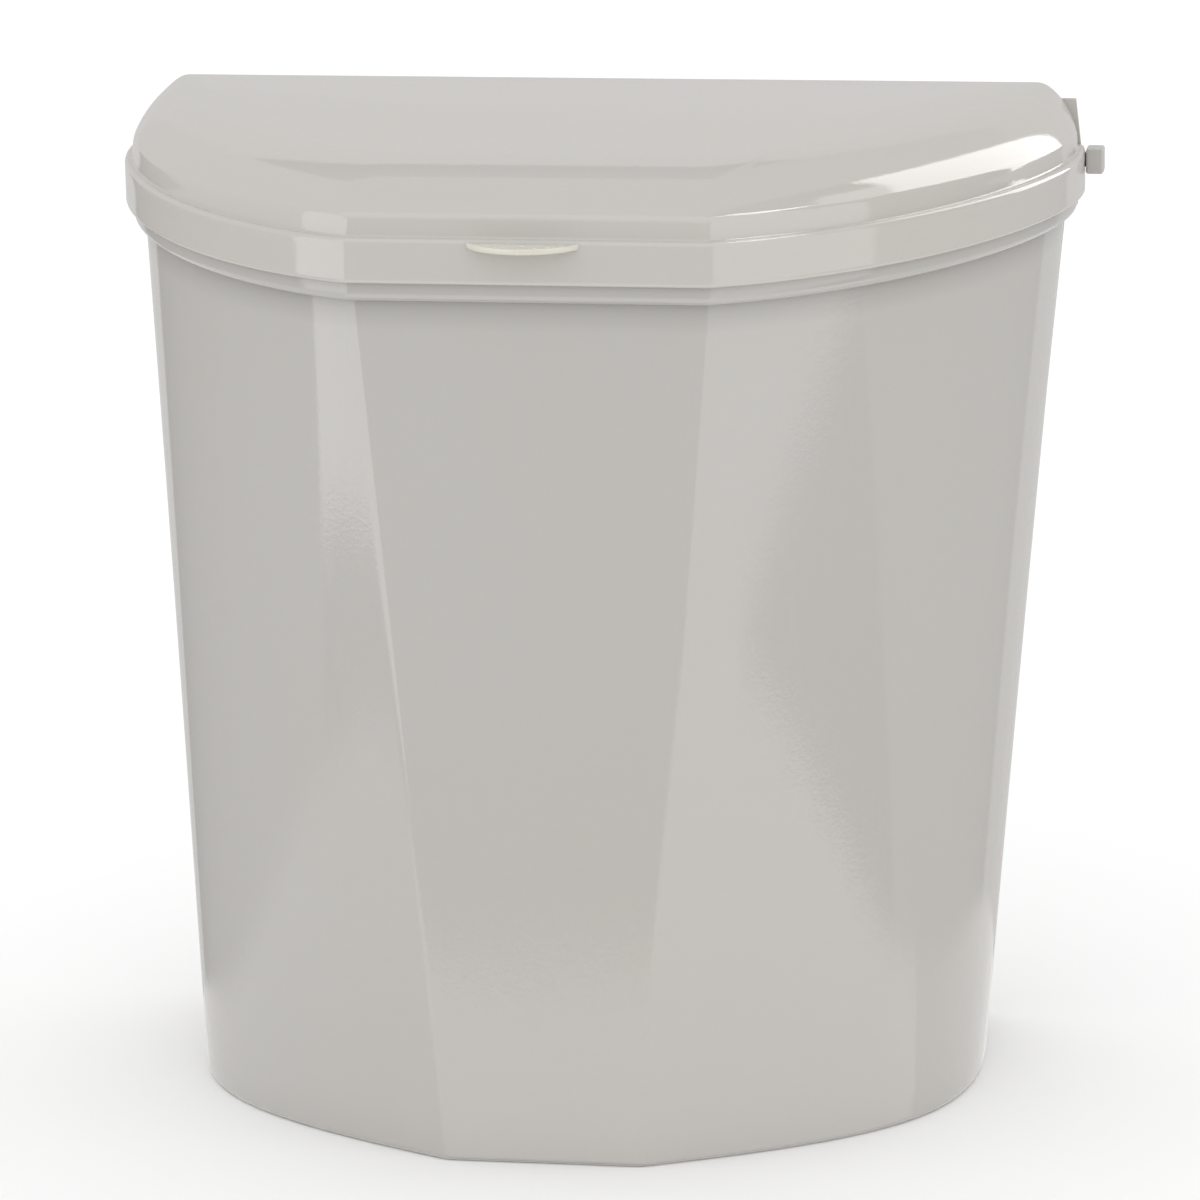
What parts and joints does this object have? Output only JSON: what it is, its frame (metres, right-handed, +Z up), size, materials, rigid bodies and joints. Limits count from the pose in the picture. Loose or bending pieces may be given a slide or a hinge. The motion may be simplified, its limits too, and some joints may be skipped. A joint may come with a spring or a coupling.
{
  "type": "wall-hung flip-lid waste bin",
  "caption": "Wall-hung waste bin with a tapered D-plan tub, rim collar, bag ring, hinged domed lid with finger lip and a hook-on wall bracket.",
  "frame": {"origin": "on the underside of the tub, on its centre plane, halfway between the rear plane and the front of the rim band", "axes": "+Z up, +Y towards the wall, +X to the right seen from the front"},
  "size_m": [0.313, 0.2021, 0.3095],
  "materials": {
    "tub_plastic": "glossy, faintly translucent",
    "rim_plastic": "glossy",
    "lid_plastic": "glossy",
    "lip_plastic": "glossy",
    "ring_plastic": "satin",
    "hinge_plastic": "satin",
    "steel": "zinc plated sheet",
    "rod_steel": "drawn",
    "clip_steel": "spring steel",
    "fastener": "plated",
    "rubber": "matt"
  },
  "bodies": {
    "wall_side": {"wall_bracket": "steel"},
    "bin": {"tub": "tub_plastic", "rim_collar": "rim_plastic", "bag_ring": "ring_plastic", "hanger_rail": "steel", "hanger_rivets": "fastener", "spacer_left": "rubber", "spacer_right": "rubber", "spacer_screws": "fastener", "hinge_block_left": "hinge_plastic", "hinge_block_right": "hinge_plastic", "hinge_block_screws": "fastener", "hinge_rod": "rod_steel", "rod_head": "hinge_plastic", "rod_clip": "clip_steel"},
    "lid_assembly": {"lid": "lid_plastic", "finger_lip": "lip_plastic", "knuckle_left": "hinge_plastic", "knuckle_right": "hinge_plastic", "stop_plate_left": "lid_plastic", "stop_plate_right": "lid_plastic", "knuckle_screws": "fastener", "buffer_front_left": "rubber", "buffer_front_right": "rubber", "buffer_side_left": "rubber", "buffer_side_right": "rubber"}
  },
  "joints": [
    {"name": "lift_off", "type": "slide", "parent": "wall_side", "child": "bin", "axis": [0, 0, 1], "range_m": [0, 0.015]},
    {"name": "lid_hinge", "type": "hinge", "parent": "bin", "child": "lid_assembly", "pos_m": [0, 0.078, 0.286], "axis": [-1, 0, 0], "range_deg": [0, 90]}
  ]
}
